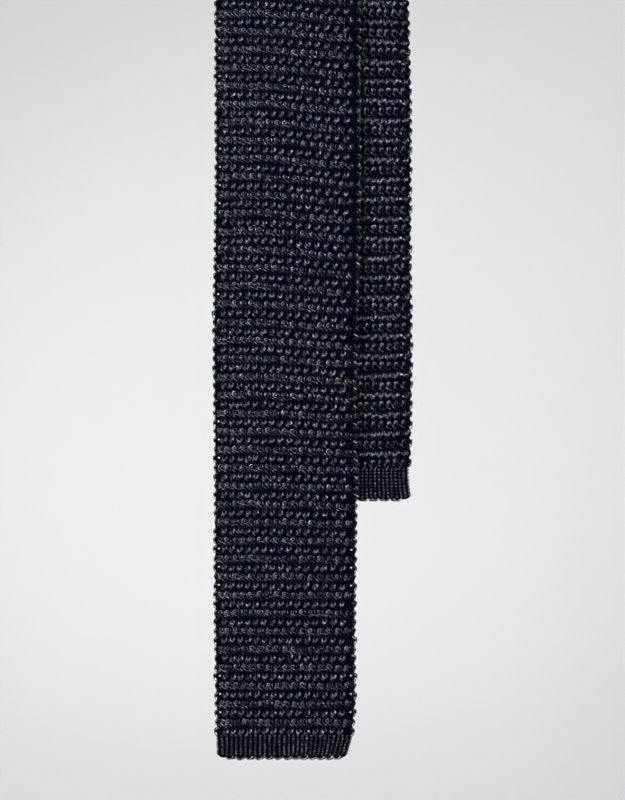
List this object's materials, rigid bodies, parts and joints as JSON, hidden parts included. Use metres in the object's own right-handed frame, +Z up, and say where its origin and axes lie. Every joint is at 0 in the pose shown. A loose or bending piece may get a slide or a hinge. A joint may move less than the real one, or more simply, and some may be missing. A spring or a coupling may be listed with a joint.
{
  "type": "knitted necktie",
  "caption": "Square-ended navy knitted silk necktie, hung folded over a bar with its narrower tail behind and to one side.",
  "frame": {"origin": "on the axis of the bar that the tie hangs over, at the middle of the fold's width", "axes": "+Z up along the hanging legs, +Y from the front leg to the tail leg behind it, +X along the bar towards the side where the tail shows"},
  "size_m": [0.0832, 0.0164, 0.7772],
  "materials": {
    "bump_knit": "coarse crunchy bump knit in lustrous navy silk yarn",
    "plain_knit": "fine plain knit in the same silk yarn",
    "sewing_thread": "twisted navy silk sewing thread",
    "woven_label": "blank woven label with a ribbed ground",
    "satin_label": "blank off-white satin ribbon"
  },
  "bodies": {
    "neck": {"neck_band": "bump_knit", "neck_seam": "sewing_thread"},
    "front_leg": {"front_upper": "bump_knit", "front_upper_seam": "sewing_thread"},
    "front_end": {"front_blade": "bump_knit", "front_blade_seam": "sewing_thread", "front_bar_tack": "sewing_thread", "front_hem_band": "plain_knit", "front_hem_facing": "plain_knit", "front_hem_stitches": "sewing_thread", "keeper_loop": "plain_knit", "keeper_stitches": "sewing_thread", "maker_label": "woven_label", "maker_label_stitches": "sewing_thread", "care_label_heading": "satin_label", "care_label_stitches": "sewing_thread"},
    "care_flap": {"care_label": "satin_label"},
    "tail_leg": {"tail_upper": "bump_knit", "tail_upper_seam": "sewing_thread"},
    "tail_end": {"tail_blade": "bump_knit", "tail_blade_seam": "sewing_thread", "tail_bar_tack": "sewing_thread", "tail_hem_band": "plain_knit", "tail_hem_facing": "plain_knit", "tail_hem_stitches": "sewing_thread"}
  },
  "joints": [
    {"name": "front_swing", "type": "hinge", "parent": "neck", "child": "front_leg", "pos_m": [0, -0.0083, -0.01215], "axis": [1, 0, 0], "range_deg": [-90, 0]},
    {"name": "front_fold", "type": "hinge", "parent": "front_leg", "child": "front_end", "pos_m": [-0.0125, -0.0083, -0.545], "axis": [1, 0, 0], "range_deg": [-150, 0]},
    {"name": "care_flip", "type": "hinge", "parent": "front_end", "child": "care_flap", "pos_m": [-0.027, -0.00435, -0.64615], "axis": [1, 0, 0], "range_deg": [0, 170]},
    {"name": "tail_swing", "type": "hinge", "parent": "neck", "child": "tail_leg", "pos_m": [0, 0.0083, -0.01215], "axis": [1, 0, 0], "range_deg": [0, 90]},
    {"name": "tail_fold", "type": "hinge", "parent": "tail_leg", "child": "tail_end", "pos_m": [0.0142, 0.0083, -0.52], "axis": [1, 0, 0], "range_deg": [0, 150]}
  ]
}
